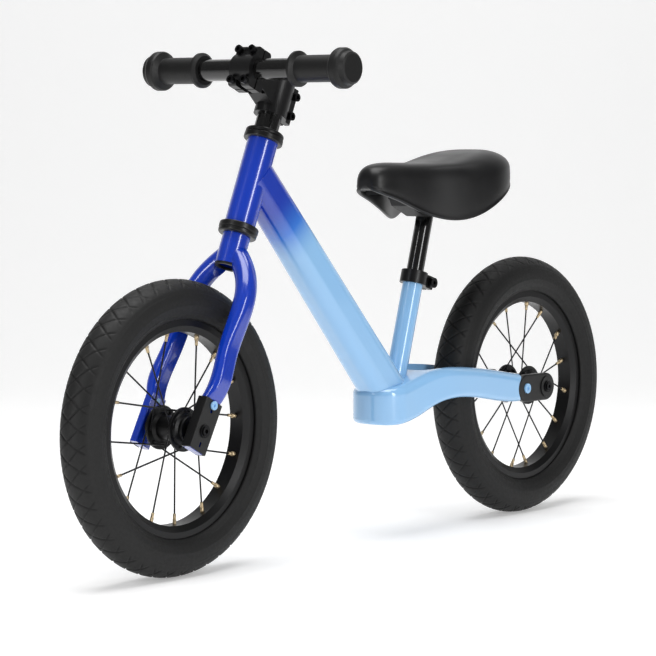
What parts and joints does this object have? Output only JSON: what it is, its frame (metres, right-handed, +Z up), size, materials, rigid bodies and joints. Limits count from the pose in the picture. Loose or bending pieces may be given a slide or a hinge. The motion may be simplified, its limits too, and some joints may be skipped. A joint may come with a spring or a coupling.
{
  "type": "balance bike",
  "caption": "Children's balance bike with two-tone blue frame, spoked 12 inch wheels, turning fork and handlebar, and a height-adjustable padded saddle.",
  "frame": {"origin": "on the ground, half way between the axles, in the middle plane", "axes": "+X forward along the wheelbase, +Y to the rider's left along the axles, +Z up"},
  "size_m": [0.88, 0.268, 0.5248],
  "materials": {
    "frame_paint": "light sky blue gloss powder coat, fading to royal blue at the head tube",
    "fork_paint": "royal blue gloss powder coat",
    "blue_screws": "light blue painted button heads",
    "black_alloy": "satin black coated alloy",
    "gloss_black": "gloss black paint",
    "black_bolts": "black oxide steel",
    "wheel_black": "satin black anodised",
    "spoke_black": "black coated wire",
    "nipple_brass": "nickel-dulled brass",
    "bare_steel": "ground steel",
    "tyre_rubber": "moulded rubber, matt",
    "butyl_rubber": "smooth butyl",
    "valve_metal": "rubber-clad brass",
    "grip_rubber": "moulded rubber, satin",
    "crown_seal": "moulded rubber ring",
    "saddle_skin": "smooth black polyurethane cover over foam, satin",
    "saddle_plastic": "moulded black polypropylene"
  },
  "bodies": {
    "frame": {"head_tube": "frame_paint", "down_tube": "frame_paint", "seat_tube": "frame_paint", "rear_yoke": "frame_paint", "rear_dropout_left": "black_alloy", "rear_dropout_right": "black_alloy", "rear_dropout_screws": "blue_screws", "headset_cup_upper": "black_alloy", "headset_cup_lower": "black_alloy", "headset_bearing_upper": "bare_steel", "headset_bearing_lower": "bare_steel", "seat_collar": "black_alloy", "seat_collar_bolt": "black_bolts", "rear_axle": "bare_steel", "rear_axle_bolts": "black_bolts"},
    "steering": {"steerer_tube": "gloss_black", "fork_crown": "fork_paint", "crown_plug": "crown_seal", "fork_leg_left": "fork_paint", "fork_leg_right": "fork_paint", "dropout_shoe_left": "black_alloy", "dropout_plate_right": "black_alloy", "fork_screws": "blue_screws", "front_axle": "bare_steel", "front_axle_bolts": "black_bolts", "crown_race": "black_alloy", "headset_top_cover": "black_alloy", "stem_body": "black_alloy", "stem_faceplate": "black_alloy", "faceplate_bolts": "black_bolts", "stem_clamp_bolts": "black_bolts", "stem_top_cap": "black_alloy", "top_cap_bolt": "black_bolts", "star_nut": "bare_steel", "handlebar": "gloss_black", "grip_left": "grip_rubber", "grip_right": "grip_rubber"},
    "front_wheel": {"front_tyre": "tyre_rubber", "front_inner_tube": "butyl_rubber", "front_valve": "valve_metal", "front_rim": "wheel_black", "front_spokes": "spoke_black", "front_nipples": "nipple_brass", "front_hub_shell": "wheel_black", "front_bearings": "bare_steel"},
    "rear_wheel": {"rear_tyre": "tyre_rubber", "rear_inner_tube": "butyl_rubber", "rear_valve": "valve_metal", "rear_rim": "wheel_black", "rear_spokes": "spoke_black", "rear_nipples": "nipple_brass", "rear_hub_shell": "wheel_black", "rear_bearings": "bare_steel"},
    "seat": {"seatpost": "gloss_black", "saddle_pad": "saddle_skin", "saddle_base": "saddle_plastic", "saddle_bracket": "saddle_plastic", "saddle_bolts": "black_bolts"}
  },
  "joints": [
    {"name": "steering_turn", "type": "hinge", "parent": "frame", "child": "steering", "pos_m": [0.1945, 0, 0.338], "axis": [-0.3939, 0, 0.9191], "range_deg": [-90, 90]},
    {"name": "front_wheel_spin", "type": "hinge", "parent": "steering", "child": "front_wheel", "pos_m": [0.293, 0, 0.147], "axis": [0, 1, 0], "continuous": true},
    {"name": "rear_wheel_spin", "type": "hinge", "parent": "frame", "child": "rear_wheel", "pos_m": [-0.293, 0, 0.147], "axis": [0, 1, 0], "continuous": true},
    {"name": "seat_height", "type": "slide", "parent": "frame", "child": "seat", "axis": [-0.284, 0, 0.9588], "range_m": [-0.025, 0.03]}
  ]
}
